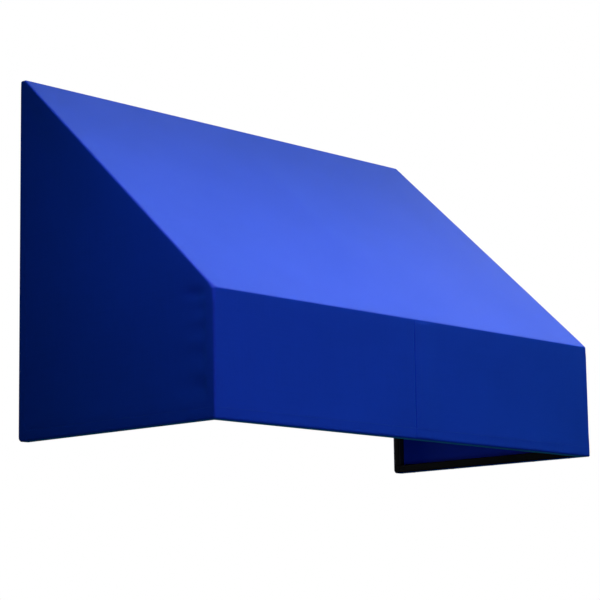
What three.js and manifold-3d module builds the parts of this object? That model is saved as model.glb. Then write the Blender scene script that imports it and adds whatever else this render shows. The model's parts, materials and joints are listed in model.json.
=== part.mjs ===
// Fixed fabric window awning with its frame.
// Millimetres, +Z up. X runs along the wall (0 at mid-width), the wall plane is y = 0, and
// the awning projects towards -Y. The origin is on the back face of the centre header bracket.
// Heights below are measured from the awning's bottom edge; the whole group is then lowered
// by ORIGIN_Z to bring the bracket's face to z = 0.
import * as THREE from 'three';
import { mergeVertices } from 'three/addons/utils/BufferGeometryUtils.js';
import Module from 'manifold-3d';

// ---------------------------------------------------------------- driving dimensions
const WIDTH = 1260;          // overall width along the wall
const PROJ = 596;            // projection from the wall to the front of the valance
const HEIGHT = 795;          // bottom edge to the top of the cover
const VALANCE = 262;         // height of the vertical front below the eave

const CLOTH = 1.0;           // cover thickness with its coating
const GAP = 0.3;             // assembly clearance
const INSET = CLOTH + GAP;   // frame line inside the outer cloth face
const STANDOFF = 3;          // the brackets hold the cloth's back this far off the wall
const REAR = STANDOFF + INSET;  // back face of the frame tubes

const TUBE = 19.05;          // square frame tube, 3/4 in
const WALL = 1.25;           // tube wall
const TUBE_R = 2.6;          // outer corner radius of the tubes
const HEAD_D = 12.7;         // header tube depth off the wall, 1/2 in
const HEAD_H = 25.4;         // header tube height, 1 in
const PLUG_FIT = 0.3;        // clearance round a connector plug inside a tube
const PLUG_LEN = 36;         // how far a connector plug enters its tube
const PLATE = 3;             // thickness of brackets and connector plates
const EDGE = 1.2;            // moulded edge rounding of the connectors
const CORNER_R = 14;         // rounding of the connectors' outer corners under the cloth
const ELBOW_R = 9;           // outer radius of the rear bottom elbows

const HEM_RETURN = 19;       // cloth turned under the bottom bars and behind the uprights
const REAR_RETURN = 26.3;    // cloth turned down behind the header
const LAP_GAP = 0.3;         // between the two valance strips at mid-width

const SCREW_R = 2.1;         // self-drilling frame screw
const SCREW_HOLE_R = 2.6;
const SCREW_HEAD_R = 4.2;
const SCREW_HEAD_H = 2.6;
const WALL_HOLE_R = 4.5;     // hole for a wall screw in each wall bracket

const HEADER_BRACKET_X = [-470, 0, 470];
const HEADER_BRACKET_W = 40;
const HEADER_BRACKET_H = 48;
const LOWER_BRACKET_Z = 178;  // middle of the lower wall brackets
const LOWER_BRACKET_H = 56;
const LOWER_BRACKET_W = 38;

const ORIGIN_Z = 758;        // height of the mounting point above the bottom edge

// ---------------------------------------------------------------- derived side profile
// Side profile in (u, z), u = -y measured out from the wall.
const u0 = REAR + HEAD_D;           // front face of the header
const z0 = HEIGHT - INSET;           // top face of the header
const u1 = PROJ - INSET;             // front face of the eave bar
// The slope's outer line runs from (uRidge, HEIGHT) to (PROJ, VALANCE), INSET outside the frame line.
let theta = Math.atan2(HEIGHT - VALANCE, PROJ - u0);
let uRidge = u0;
for (let i = 0; i < 20; i++) {
  uRidge = u0 + INSET * Math.tan(theta / 2);
  theta = Math.atan2(HEIGHT - VALANCE, PROJ - uRidge);
}
const TAN = Math.tan(theta), COS = Math.cos(theta), SIN = Math.sin(theta);
const zSlope = (u, inward = 0) => HEIGHT - (u - uRidge) * TAN - inward / COS;
const z1 = zSlope(u1, INSET);        // top face of the eave bar
const dir = [COS, -SIN];             // down the slope, in (u, z)
const nin = [-SIN, -COS];            // square to the slope, into the awning
const along = (p, s, n = 0) => [p[0] + dir[0] * s + nin[0] * n, p[1] + dir[1] * s + nin[1] * n];
const P0 = [u0, z0], P1 = [u1, z1];
const RAFTER_LINE = Math.hypot(P1[0] - P0[0], P1[1] - P0[1]);
const TOP_BLOCK = 31;                // along the slope, header corner to rafter end
const EAVE_BLOCK = 23;               // along the slope, rafter end to eave corner
const zTopBlock = z0 - 39;           // underside of the rear top connector
const zEaveBlock = z1 - 23;          // underside of the eave connector
const zBarTop = INSET + TUBE;        // top face of the bottom bars
const xIn = WIDTH / 2 - INSET - TUBE;   // inner face of each side frame
const xSide = WIDTH / 2 - INSET - TUBE / 2;

// ---------------------------------------------------------------- helpers
const wasm = await Module();
wasm.setup();

function solidOf(geometry) {
  const g = geometry.clone();
  for (const name of Object.keys(g.attributes)) if (name !== 'position') g.deleteAttribute(name);
  const m = mergeVertices(g, 1e-4);
  return new wasm.Manifold(new wasm.Mesh({
    numProp: 3,
    vertProperties: new Float32Array(m.attributes.position.array),
    triVerts: new Uint32Array(m.index.array),
  }));
}
function geometryOf(solid) {
  const m = solid.getMesh();
  const g = new THREE.BufferGeometry();
  g.setAttribute('position', new THREE.BufferAttribute(new Float32Array(m.vertProperties), 3));
  g.setIndex(new THREE.BufferAttribute(new Uint32Array(m.triVerts), 1));
  g.computeVertexNormals();
  return g;
}
// box from its low and high corners, in x, u, z
function boxXUZ(x, u, z) {
  const g = new THREE.BoxGeometry(x[1] - x[0], u[1] - u[0], z[1] - z[0]);
  g.translate((x[0] + x[1]) / 2, -(u[0] + u[1]) / 2, (z[0] + z[1]) / 2);
  return g;
}
// a (u, z) outline extruded along X
function profileX(points, x) {
  const s = new THREE.Shape(points.map((p) => new THREE.Vector2(p[0], p[1])));
  const g = new THREE.ExtrudeGeometry(s, { depth: x[1] - x[0], bevelEnabled: false });
  const m = new THREE.Matrix4().makeBasis(
    new THREE.Vector3(0, -1, 0), new THREE.Vector3(0, 0, 1), new THREE.Vector3(-1, 0, 0));
  g.applyMatrix4(m);
  g.translate(x[1], 0, 0);
  return g;
}
// the same with its edges rounded by EDGE where the outline meets the two end faces
function blockX(points, x) {
  const s = new THREE.Shape(points.map((p) => new THREE.Vector2(p[0], p[1])));
  const g = new THREE.ExtrudeGeometry(s, {
    depth: x[1] - x[0] - 2 * EDGE, bevelEnabled: true, bevelThickness: EDGE, bevelSize: EDGE,
    bevelOffset: -EDGE, bevelSegments: 2,
  });
  g.applyMatrix4(new THREE.Matrix4().makeBasis(
    new THREE.Vector3(0, -1, 0), new THREE.Vector3(0, 0, 1), new THREE.Vector3(-1, 0, 0)));
  g.translate(x[1] - EDGE, 0, 0);
  return g;
}
// rounds the corners of an outline; r is one radius or one for each corner
function fillet(points, r, steps = 3) {
  const out = [];
  points.forEach((p, i) => {
    const R = Array.isArray(r) ? r[i] : r;
    const a = points[(i + points.length - 1) % points.length], b = points[(i + 1) % points.length];
    const A = new THREE.Vector2(a[0] - p[0], a[1] - p[1]).normalize();
    const B = new THREE.Vector2(b[0] - p[0], b[1] - p[1]).normalize();
    const half = Math.acos(THREE.MathUtils.clamp(A.dot(B), -1, 1)) / 2;
    if (R <= 0 || half > 1.5) { out.push(p); return; }
    const n = R > 4 ? 6 : steps;
    const t = R / Math.tan(half), c = R / Math.sin(half);
    const m = A.clone().add(B).normalize();
    const C = [p[0] + m.x * c, p[1] + m.y * c];
    const s0 = [p[0] + A.x * t - C[0], p[1] + A.y * t - C[1]], s1 = [p[0] + B.x * t - C[0], p[1] + B.y * t - C[1]];
    const a0 = Math.atan2(s0[1], s0[0]);
    let d = Math.atan2(s1[1], s1[0]) - a0;
    while (d > Math.PI) d -= 2 * Math.PI;
    while (d < -Math.PI) d += 2 * Math.PI;
    for (let k = 0; k <= n; k++) {
      out.push([C[0] + R * Math.cos(a0 + d * k / n), C[1] + R * Math.sin(a0 + d * k / n)]);
    }
  });
  return out;
}
// rectangular tube, open at both ends, centred on the origin and running along +Z
function tube(a, b, length) {
  const s = new THREE.Shape(fillet([[-a / 2, -b / 2], [a / 2, -b / 2], [a / 2, b / 2], [-a / 2, b / 2]], TUBE_R)
    .map((p) => new THREE.Vector2(...p)));
  const i = a / 2 - WALL, j = b / 2 - WALL;
  s.holes.push(new THREE.Path([[-i, -j], [-i, j], [i, j], [i, -j]].map((p) => new THREE.Vector2(...p))));
  return new THREE.ExtrudeGeometry(s, { depth: length, bevelEnabled: false });
}
// a geometry made along +Z, turned to run along a direction given in x, u, z, starting at a point in x, u, z
function place(g, start, direction) {
  const w = new THREE.Vector3(direction[0], -direction[1], direction[2]).normalize();
  let a = new THREE.Vector3(1, 0, 0);
  if (Math.abs(w.dot(a)) > 0.9) a = new THREE.Vector3(0, 1, 0);
  const v = new THREE.Vector3().crossVectors(w, a).normalize();
  const q = new THREE.Vector3().crossVectors(v, w).normalize();
  g.applyMatrix4(new THREE.Matrix4().makeBasis(q, v, w));
  g.translate(start[0], -start[1], start[2]);
  return g;
}
function rod(radius, length, sides = 16) {
  const g = new THREE.CylinderGeometry(radius, radius, length, sides);
  g.rotateX(Math.PI / 2);
  g.translate(0, 0, length / 2);
  return g;
}
function plug(a, b, length) {
  const g = new THREE.BoxGeometry(a - 2 * (WALL + PLUG_FIT), b - 2 * (WALL + PLUG_FIT), length);
  g.translate(0, 0, length / 2);
  return g;
}
const union = (...gs) => gs.map(solidOf).reduce((a, b) => a.add(b));
function drill(solid, start, direction, radius = SCREW_HOLE_R, length = 30) {
  return solid.subtract(solidOf(place(rod(radius, length), start, direction)));
}
// cuts flats off a solid's outer corner: the corner point and its face normals, in x, u, z
function softenCorner(solid, corner, normals) {
  const v = normals.map((n) => new THREE.Vector3(...n).normalize());
  const flats = [];
  for (let i = 1; i < v.length; i++) {
    flats.push([v[0].clone().add(v[i]).normalize(), CORNER_R * (Math.SQRT2 - 1)]);
  }
  if (v.length === 3) {
    const w = v[1].clone().add(v[2]).normalize().multiplyScalar(1 / Math.cos(v[1].angleTo(v[2]) / 2));
    const d = v[0].clone().add(w);
    flats.push([d.clone().normalize(), CORNER_R * (d.length() - 1)]);
  }
  for (const [n, depth] of flats) {
    const g = new THREE.BoxGeometry(160, 160, 60);
    g.translate(0, 0, 30);
    solid = solid.subtract(solidOf(place(g,
      [corner[0] - n.x * depth, corner[1] - n.y * depth, corner[2] - n.z * depth], [n.x, n.y, n.z])));
  }
  return solid;
}
// pan-head frame screw: the head's seat at the origin, the shank along +Z
function frameScrew(shank) {
  const pts = [
    [0, -SCREW_HEAD_H], [SCREW_HEAD_R * 0.62, -SCREW_HEAD_H], [SCREW_HEAD_R * 0.9, -SCREW_HEAD_H * 0.72],
    [SCREW_HEAD_R, -SCREW_HEAD_H * 0.3], [SCREW_HEAD_R, 0], [SCREW_R, 0],
    [SCREW_R, shank - 2.2], [0.5, shank], [0, shank],
  ].map((p) => new THREE.Vector2(p[0], p[1]));
  const g = new THREE.LatheGeometry(pts, 14);
  g.rotateX(Math.PI / 2);
  return g;
}

// ---------------------------------------------------------------- materials
const mat = (color, roughness, metalness) =>
  new THREE.MeshStandardMaterial({ color, roughness, metalness, flatShading: true });
const acrylic = mat(0x1b37b0, 0.9, 0.0);
const blackTube = mat(0x0b0b0e, 0.45, 0.3);
const nylon = mat(0x121214, 0.6, 0.0);
const zinc = mat(0x9a9ca0, 0.38, 0.9);

const awning = new THREE.Group();
awning.name = 'fabric_awning';
const cover = new THREE.Group(); cover.name = 'cover';
const frame = new THREE.Group(); frame.name = 'frame';
const fixings = new THREE.Group(); fixings.name = 'fixings';
awning.add(cover, frame, fixings);
function add(group, name, geometry, material) {
  const m = new THREE.Mesh(geometry, material);
  m.name = name;
  group.add(m);
  return m;
}

// ================================================================ cloth cover
// Slope: one width of cloth. It turns over the header and down behind it, and ends at the eave.
add(cover, 'cover_slope_panel', geometryOf(union(
  profileX([
    [STANDOFF, HEIGHT - REAR_RETURN], [STANDOFF + CLOTH, HEIGHT - REAR_RETURN], [STANDOFF + CLOTH, HEIGHT - CLOTH],
    [uRidge - CLOTH * Math.tan(theta / 2), HEIGHT - CLOTH],
    [PROJ, zSlope(PROJ, CLOTH)], [PROJ, VALANCE], [uRidge, HEIGHT], [STANDOFF, HEIGHT],
  ].reverse(), [-WIDTH / 2, WIDTH / 2]))), acrylic);

// Valance: two strips that meet at mid-width, each turned under and up behind the front bottom bar.
const zValTop = VALANCE - CLOTH / COS - GAP;
const lip = [u1 - TUBE - GAP - CLOTH, u1 - TUBE - GAP];
for (const side of ['left', 'right']) {
  const range = (a, b) => (side === 'left' ? [-b, -a] : [a, b]);
  add(cover, `cover_valance_${side}`, geometryOf(union(
    boxXUZ(range(LAP_GAP / 2, WIDTH / 2), [PROJ - CLOTH, PROJ], [0, zValTop]),
    boxXUZ(range(LAP_GAP / 2, WIDTH / 2 - INSET), [lip[0], PROJ - CLOTH / 2], [0, CLOTH]),
    boxXUZ(range(LAP_GAP / 2, xIn - GAP), lip, [0, zBarTop]),
  )), acrylic);
}

// Wings: the closed sides, turned under the side bottom bars and behind the rear uprights.
for (const side of ['left', 'right']) {
  const range = (a, b) => (side === 'left' ? [-b, -a] : [a, b]);
  const uf = PROJ - INSET;
  const outline = [
    [STANDOFF, 0], [uf, 0], [uf, zSlope(uf, INSET)], [uRidge - INSET * Math.tan(theta / 2), HEIGHT - INSET],
    [REAR, HEIGHT - INSET], [REAR, HEIGHT - REAR_RETURN - GAP], [STANDOFF, HEIGHT - REAR_RETURN - GAP],
  ];
  add(cover, `cover_${side}_wing`, geometryOf(union(
    profileX(outline, range(WIDTH / 2 - CLOTH, WIDTH / 2)),
    boxXUZ(range(WIDTH / 2 - HEM_RETURN, WIDTH / 2 - CLOTH / 2), [STANDOFF, lip[0] - GAP], [0, CLOTH]),
    boxXUZ(range(WIDTH / 2 - HEM_RETURN, WIDTH / 2 - CLOTH / 2), [STANDOFF, STANDOFF + CLOTH],
      [0, HEIGHT - REAR_RETURN - GAP]),
  )), acrylic);
}

// ================================================================ cross bars
const barX = xIn - GAP;
// header, with holes in its underside for the bracket screws and in its front for the centre rafter's plate
{
  let s = solidOf(place(tube(HEAD_D, HEAD_H, 2 * barX), [-barX, REAR + HEAD_D / 2, z0 - HEAD_H / 2], [1, 0, 0]));
  const g = new THREE.Box3().setFromObject(new THREE.Mesh(geometryOf(s)));
  if (g.max.z - g.min.z < HEAD_H - 0.01) {
    s = solidOf(place(tube(HEAD_H, HEAD_D, 2 * barX), [-barX, REAR + HEAD_D / 2, z0 - HEAD_H / 2], [1, 0, 0]));
  }
  for (const x of HEADER_BRACKET_X) s = drill(s, [x, REAR + HEAD_D / 2, z0 - HEAD_H - 5], [0, 0, 1], SCREW_HOLE_R, 10);
  for (const x of [-14.6, 14.6]) s = drill(s, [x, u0 + 5, z0 - 15], [0, -1, 0], SCREW_HOLE_R, 10);
  add(frame, 'header_bar', geometryOf(s), blackTube);
}
// eave bar, with holes for the centre rafter's plate (rear face) and the centre post's plate (underside)
{
  let s = solidOf(place(tube(TUBE, TUBE, 2 * barX), [-barX, u1 - TUBE / 2, z1 - TUBE / 2], [1, 0, 0]));
  for (const x of [-14.6, 14.6]) s = drill(s, [x, u1 - TUBE - 5, z1 - 10], [0, 1, 0], SCREW_HOLE_R, 10);
  for (const x of [-16, 16]) s = drill(s, [x, u1 - 8, z1 - TUBE - 5], [0, 0, 1], SCREW_HOLE_R, 10);
  add(frame, 'eave_bar', geometryOf(s), blackTube);
}
{
  let s = solidOf(place(tube(TUBE, TUBE, 2 * barX), [-barX, u1 - TUBE / 2, INSET + TUBE / 2], [1, 0, 0]));
  for (const x of [-16, 16]) s = drill(s, [x, u1 - TUBE / 2, zBarTop + 5], [0, 0, -1], SCREW_HOLE_R, 10);
  add(frame, 'front_bottom_bar', geometryOf(s), blackTube);
}

// ================================================================ side frames
const screwU = REAR + TUBE / 2 + 2;
for (const side of ['left', 'right']) {
  const k = side === 'left' ? -1 : 1;
  const x = k * xSide;
  // rear upright, drilled for its wall bracket
  {
    const a = zBarTop + GAP, b = zTopBlock - GAP;
    let s = solidOf(place(tube(TUBE, TUBE, b - a), [x, REAR + TUBE / 2, a], [0, 0, 1]));
    s = drill(s, [k * (xIn - 5), screwU, LOWER_BRACKET_Z], [k, 0, 0], SCREW_HOLE_R, 9);
    add(frame, `${side}_upright`, geometryOf(s), blackTube);
  }
  add(frame, `${side}_bottom_bar`,
    place(tube(TUBE, TUBE, u1 - TUBE - GAP - (REAR + TUBE + GAP)), [x, REAR + TUBE + GAP, INSET + TUBE / 2], [0, 1, 0]),
    blackTube);
  add(frame, `${side}_front_post`,
    place(tube(TUBE, TUBE, zEaveBlock - GAP - (zBarTop + GAP)), [x, u1 - TUBE / 2, zBarTop + GAP], [0, 0, 1]),
    blackTube);
  {
    const st = along(P0, TOP_BLOCK + GAP, TUBE / 2);
    add(frame, `${side}_rafter`,
      place(tube(TUBE, TUBE, RAFTER_LINE - TOP_BLOCK - EAVE_BLOCK - 2 * GAP), [x, st[0], st[1]], [0, dir[0], dir[1]]),
      blackTube);
  }

  // rear top connector: header, upright and rafter
  const across = [x - TUBE / 2, x + TUBE / 2];
  const outer = k * (WIDTH / 2 - INSET);
  const out = [k, 0, 0], front = [0, 1, 0], up = [0, 0, 1], slope = [0, SIN, COS];
  const inward = [-k, 0, 0];
  const q = along(P0, TOP_BLOCK), q2 = along(P0, TOP_BLOCK, TUBE);
  const rp = along(P0, TOP_BLOCK - 4, TUBE / 2);
  {
    const header = plug(HEAD_D, HEAD_H, PLUG_LEN + 2);
    const hp = place(header, [k * (xIn + 2), REAR + HEAD_D / 2, z0 - HEAD_H / 2], inward);
    hp.computeBoundingBox();
    const bb = hp.boundingBox;
    let g = hp;
    if (bb.max.z - bb.min.z < HEAD_D) {
      g = place(plug(HEAD_H, HEAD_D, PLUG_LEN + 2), [k * (xIn + 2), REAR + HEAD_D / 2, z0 - HEAD_H / 2], inward);
    }
    let block = solidOf(blockX(fillet(
      [[REAR, z0], [u0, z0], q, q2, [REAR + TUBE, zTopBlock], [REAR, zTopBlock]].reverse(),
      [EDGE, EDGE, EDGE, EDGE, 3, EDGE * 1.5], 2), across));
    block = softenCorner(block, [outer, REAR, z0], [out, up]);
    block = softenCorner(block, [outer, u0, z0], [out, slope]);
    add(frame, `${side}_rear_top_connector`, geometryOf(union(
      geometryOf(block),
      g,
      place(plug(TUBE, TUBE, PLUG_LEN + 2), [x, REAR + TUBE / 2, zTopBlock + 2], [0, 0, -1]),
      place(plug(TUBE, TUBE, PLUG_LEN + 4), [x, rp[0], rp[1]], [0, dir[0], dir[1]]),
    )), nylon);
  }
  // eave connector: eave bar, front post and rafter
  {
    const e = along(P1, -EAVE_BLOCK), e2 = along(P1, -EAVE_BLOCK, TUBE);
    const ep = along(P1, -EAVE_BLOCK + 4, TUBE / 2);
    let block = solidOf(blockX(fillet(
      [P1, [u1, zEaveBlock], [u1 - TUBE, zEaveBlock], e2, e], [3, EDGE, EDGE, EDGE, EDGE], 2), across));
    block = softenCorner(block, [outer, u1, z1], [out, front, slope]);
    add(frame, `${side}_eave_connector`, geometryOf(union(
      geometryOf(block),
      place(plug(TUBE, TUBE, PLUG_LEN + 2), [k * (xIn + 2), u1 - TUBE / 2, z1 - TUBE / 2], inward),
      place(plug(TUBE, TUBE, PLUG_LEN + 2), [x, u1 - TUBE / 2, zEaveBlock + 2], [0, 0, -1]),
      place(plug(TUBE, TUBE, PLUG_LEN + 4), [x, ep[0], ep[1]], [0, -dir[0], -dir[1]]),
    )), nylon);
  }
  // front bottom connector: front bottom bar, side bottom bar and front post
  add(frame, `${side}_front_bottom_connector`, geometryOf(union(
    blockX(fillet([[u1 - TUBE, INSET], [u1 - TUBE, zBarTop], [u1, zBarTop], [u1, INSET]].reverse(), [2.4, EDGE, EDGE, EDGE], 2), across),
    place(plug(TUBE, TUBE, PLUG_LEN + 2), [k * (xIn + 2), u1 - TUBE / 2, INSET + TUBE / 2], inward),
    place(plug(TUBE, TUBE, PLUG_LEN + 2), [x, u1 - TUBE + 2, INSET + TUBE / 2], [0, -1, 0]),
    place(plug(TUBE, TUBE, PLUG_LEN + 2), [x, u1 - TUBE / 2, zBarTop - 2], [0, 0, 1]),
  )), nylon);
  // rear bottom connector: side bottom bar and upright
  add(frame, `${side}_rear_bottom_connector`, geometryOf(union(
    blockX(fillet([[REAR, INSET], [REAR, zBarTop], [REAR + TUBE, zBarTop], [REAR + TUBE, INSET]].reverse(),
      [EDGE, EDGE, EDGE, ELBOW_R], 2), across),
    place(plug(TUBE, TUBE, PLUG_LEN + 2), [x, REAR + TUBE - 2, INSET + TUBE / 2], [0, 1, 0]),
    place(plug(TUBE, TUBE, PLUG_LEN + 2), [x, REAR + TUBE / 2, zBarTop - 2], [0, 0, 1]),
  )), nylon);

  // lower wall bracket: an angle screwed to the upright's inner face, its other leg on the wall
  {
    const zr = [LOWER_BRACKET_Z - LOWER_BRACKET_H / 2, LOWER_BRACKET_Z + LOWER_BRACKET_H / 2];
    const rx = (a, b) => (k < 0 ? [-b, -a] : [a, b]);
    const xf = xIn - GAP;
    let s = union(
      boxXUZ(rx(xf - PLATE, xf), [0, REAR + TUBE], zr),
      boxXUZ(rx(xf - LOWER_BRACKET_W, xf - PLATE / 2), [0, PLATE], zr));
    s = drill(s, [k * (xf - PLATE - 5), screwU, LOWER_BRACKET_Z], [k, 0, 0], SCREW_HOLE_R, 10);
    for (const dz of [-14, 14]) {
      s = drill(s, [k * (xf - LOWER_BRACKET_W / 2 - 3), -5, LOWER_BRACKET_Z + dz], [0, 1, 0], WALL_HOLE_R, 20);
    }
    add(fixings, `${side}_lower_bracket`, geometryOf(s), zinc);
    add(fixings, `${side}_lower_bracket_screw`,
      place(frameScrew(13), [k * (xf - PLATE - GAP), screwU, LOWER_BRACKET_Z], [k, 0, 0]), zinc);
  }
}

// ================================================================ centre rafter and post
{
  const uA = u0 + GAP + PLATE + GAP, uB = u1 - TUBE - GAP - PLATE - GAP;
  const st = along(P0, -30, TUBE / 2);
  const raw = solidOf(place(tube(TUBE, TUBE, RAFTER_LINE + 60), [0, st[0], st[1]], [0, dir[0], dir[1]]));
  add(frame, 'centre_rafter',
    geometryOf(raw.intersect(solidOf(boxXUZ([-50, 50], [uA, uB], [0, HEIGHT + 50])))), blackTube);

  // plates at both ends of the centre rafter, each with a plug inside it
  const topPlate = [u0 + GAP, u0 + GAP + PLATE];
  let s = union(
    boxXUZ([-21, 21], topPlate, [z0 - HEAD_H, z0 - 4.2]),
    geometryOf(solidOf(place(plug(TUBE, TUBE, 30 + PLUG_LEN + 26), [0, st[0], st[1]], [0, dir[0], dir[1]]))
      .intersect(solidOf(boxXUZ([-50, 50], [topPlate[0] + 1, 200], [0, HEIGHT + 50])))));
  for (const x of [-14.6, 14.6]) s = drill(s, [x, topPlate[1] + 5, z0 - 15], [0, -1, 0], SCREW_HOLE_R, 12);
  add(frame, 'centre_rafter_top_plate', geometryOf(s), nylon);

  const lowPlate = [u1 - TUBE - GAP - PLATE, u1 - TUBE - GAP];
  const lo = along(P1, 30, TUBE / 2);
  s = union(
    boxXUZ([-21, 21], lowPlate, [z1 - TUBE, z1 + 13.5]),
    geometryOf(solidOf(place(plug(TUBE, TUBE, 30 + PLUG_LEN + 36), [0, lo[0], lo[1]], [0, -dir[0], -dir[1]]))
      .intersect(solidOf(boxXUZ([-50, 50], [300, lowPlate[1] - 1], [0, HEIGHT + 50])))));
  for (const x of [-14.6, 14.6]) s = drill(s, [x, lowPlate[0] - 5, z1 - 10], [0, 1, 0], SCREW_HOLE_R, 12);
  add(frame, 'centre_rafter_foot_plate', geometryOf(s), nylon);

  // centre post under the eave bar, on the front bottom bar
  const zA = zBarTop + GAP + PLATE + GAP, zB = z1 - TUBE - GAP - PLATE - GAP;
  add(frame, 'centre_front_post',
    place(tube(TUBE, TUBE, zB - zA), [0, u1 - TUBE / 2, zA], [0, 0, 1]), blackTube);
  s = union(
    boxXUZ([-23, 23], [u1 - TUBE, u1], [zB + GAP, zB + GAP + PLATE]),
    place(plug(TUBE, TUBE, 30), [0, u1 - TUBE / 2, zB + GAP + 1], [0, 0, -1]));
  for (const x of [-16, 16]) s = drill(s, [x, u1 - 8, zB - 5], [0, 0, 1], SCREW_HOLE_R, 12);
  add(frame, 'centre_post_top_plate', geometryOf(s), nylon);
  s = union(
    boxXUZ([-23, 23], [u1 - TUBE, u1], [zBarTop + GAP, zBarTop + GAP + PLATE]),
    place(plug(TUBE, TUBE, 30), [0, u1 - TUBE / 2, zBarTop + GAP + PLATE - 1], [0, 0, 1]));
  for (const x of [-16, 16]) s = drill(s, [x, u1 - TUBE / 2, zA + 5], [0, 0, -1], SCREW_HOLE_R, 12);
  add(frame, 'centre_post_foot_plate', geometryOf(s), nylon);

  const names = ['left', 'right'];
  [-1, 1].forEach((k, i) => {
    add(fixings, `centre_rafter_top_screw_${names[i]}`,
      place(frameScrew(9), [k * 14.6, topPlate[1] + GAP, z0 - 15], [0, -1, 0]), zinc);
    add(fixings, `centre_rafter_foot_screw_${names[i]}`,
      place(frameScrew(9), [k * 14.6, lowPlate[0] - GAP, z1 - 10], [0, 1, 0]), zinc);
    add(fixings, `centre_post_top_screw_${names[i]}`,
      place(frameScrew(9), [k * 16, u1 - 8, zB + GAP - GAP], [0, 0, 1]), zinc);
    add(fixings, `centre_post_foot_screw_${names[i]}`,
      place(frameScrew(9), [k * 16, u1 - TUBE / 2, zBarTop + GAP + PLATE + GAP], [0, 0, -1]), zinc);
  });
}

// ================================================================ header wall brackets
HEADER_BRACKET_X.forEach((x, i) => {
  const name = ['left', 'centre', 'right'][i];
  const zt = z0 - HEAD_H - GAP;
  const xr = [x - HEADER_BRACKET_W / 2, x + HEADER_BRACKET_W / 2];
  let s = union(
    boxXUZ(xr, [0, u0], [zt - PLATE, zt]),
    boxXUZ(xr, [0, PLATE], [zt - HEADER_BRACKET_H, zt - PLATE / 2]));
  s = drill(s, [x, REAR + HEAD_D / 2, zt - PLATE - 5], [0, 0, 1], SCREW_HOLE_R, 15);
  s = drill(s, [x, -5, zt - HEADER_BRACKET_H * 0.62], [0, 1, 0], WALL_HOLE_R, 20);
  add(fixings, `header_bracket_${name}`, geometryOf(s), zinc);
  add(fixings, `header_bracket_screw_${name}`,
    place(frameScrew(11), [x, REAR + HEAD_D / 2, zt - PLATE - GAP], [0, 0, 1]), zinc);
});

awning.position.z = -ORIGIN_Z;
awning.updateMatrixWorld(true);

export default awning;
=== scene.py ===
# Fabric window awning: looks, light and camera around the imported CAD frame.
import json
import math

import bpy
import numpy as np
from mathutils import Matrix, Vector

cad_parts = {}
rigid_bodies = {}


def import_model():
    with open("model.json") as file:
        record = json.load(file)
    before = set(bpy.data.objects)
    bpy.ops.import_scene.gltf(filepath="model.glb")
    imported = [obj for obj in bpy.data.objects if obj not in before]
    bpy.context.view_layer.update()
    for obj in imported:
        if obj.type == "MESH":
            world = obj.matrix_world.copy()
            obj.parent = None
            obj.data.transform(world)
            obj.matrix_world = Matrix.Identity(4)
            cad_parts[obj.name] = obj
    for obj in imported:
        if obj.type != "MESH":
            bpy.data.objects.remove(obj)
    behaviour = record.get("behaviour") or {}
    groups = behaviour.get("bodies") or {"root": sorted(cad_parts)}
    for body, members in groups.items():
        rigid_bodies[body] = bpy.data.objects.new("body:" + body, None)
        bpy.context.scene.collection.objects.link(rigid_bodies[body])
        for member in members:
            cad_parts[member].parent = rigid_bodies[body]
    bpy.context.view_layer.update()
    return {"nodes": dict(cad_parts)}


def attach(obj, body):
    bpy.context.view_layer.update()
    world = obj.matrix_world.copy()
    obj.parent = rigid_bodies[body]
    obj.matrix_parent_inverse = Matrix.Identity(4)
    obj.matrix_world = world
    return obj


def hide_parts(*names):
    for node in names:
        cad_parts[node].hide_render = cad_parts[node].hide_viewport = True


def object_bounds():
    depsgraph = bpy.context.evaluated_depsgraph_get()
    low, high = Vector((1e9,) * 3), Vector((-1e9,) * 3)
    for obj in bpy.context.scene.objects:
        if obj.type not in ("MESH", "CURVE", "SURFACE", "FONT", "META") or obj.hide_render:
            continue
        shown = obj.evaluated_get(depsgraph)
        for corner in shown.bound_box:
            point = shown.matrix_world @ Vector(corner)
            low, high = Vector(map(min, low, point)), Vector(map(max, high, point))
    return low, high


for o in list(bpy.data.objects):
    bpy.data.objects.remove(o)

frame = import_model()
nodes = frame["nodes"]

# ------------------------------------------------------------------ dimensions, mm
# x along the wall, u out from the wall (u = -y), z up from the bottom edge
HALF, BACK, FRONT, HIGH, VAL = 630.0, 3.0, 596.0, 795.0, 262.0
INSET, HEADER, TUBE = 1.3, 12.7, 19.05
U0, U1 = BACK + INSET + HEADER, FRONT - INSET
THICK = 0.9          # cloth
RETURN = 611.0       # |x| where the side and rear returns end
REAR_Z = 768.7       # lower edge of the return behind the header
LIP = U1 - TUBE - 1.3      # outer face of the lip behind the front bottom bar
LIP_TOP = INSET + TUBE
LIP_X = 609.0        # the lip ends before the side bars
ROUND = 3.3          # cloth folded over the hems and the wall edge
SOFT = 4.6           # over the round-cornered tubes along the rakes, eave and front corners
CORNER = {-1: 9.0, 1: 6.0}      # over the moulded eave corners, left and right
CROWN = {-1: 4.6, 1: 4.2}       # and at the two ends of the ridge
ELBOW = 10.3         # rear bottom corner of the wings
LAP = -12.6          # edge of the lap in the valance
TOP = float(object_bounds()[1][2]) * 1000   # top of the cover in the frame's own height
DROP = TOP - HIGH

theta = math.atan2(HIGH - VAL, FRONT - U0)
for _ in range(30):
    RIDGE = U0 + INSET * math.tan(theta / 2)
    theta = math.atan2(HIGH - VAL, FRONT - RIDGE)
SIN, COS, TAN = math.sin(theta), math.cos(theta), math.tan(theta)
SLOPE = (HIGH - VAL) / SIN
XIN = HALF - INSET - TUBE


def world(p):
    """(x, u, z) in mm to metres in the row frame."""
    p = np.asarray(p, float)
    return np.stack([p[..., 0], -p[..., 1], p[..., 2] + DROP], -1) * 0.001


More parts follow.
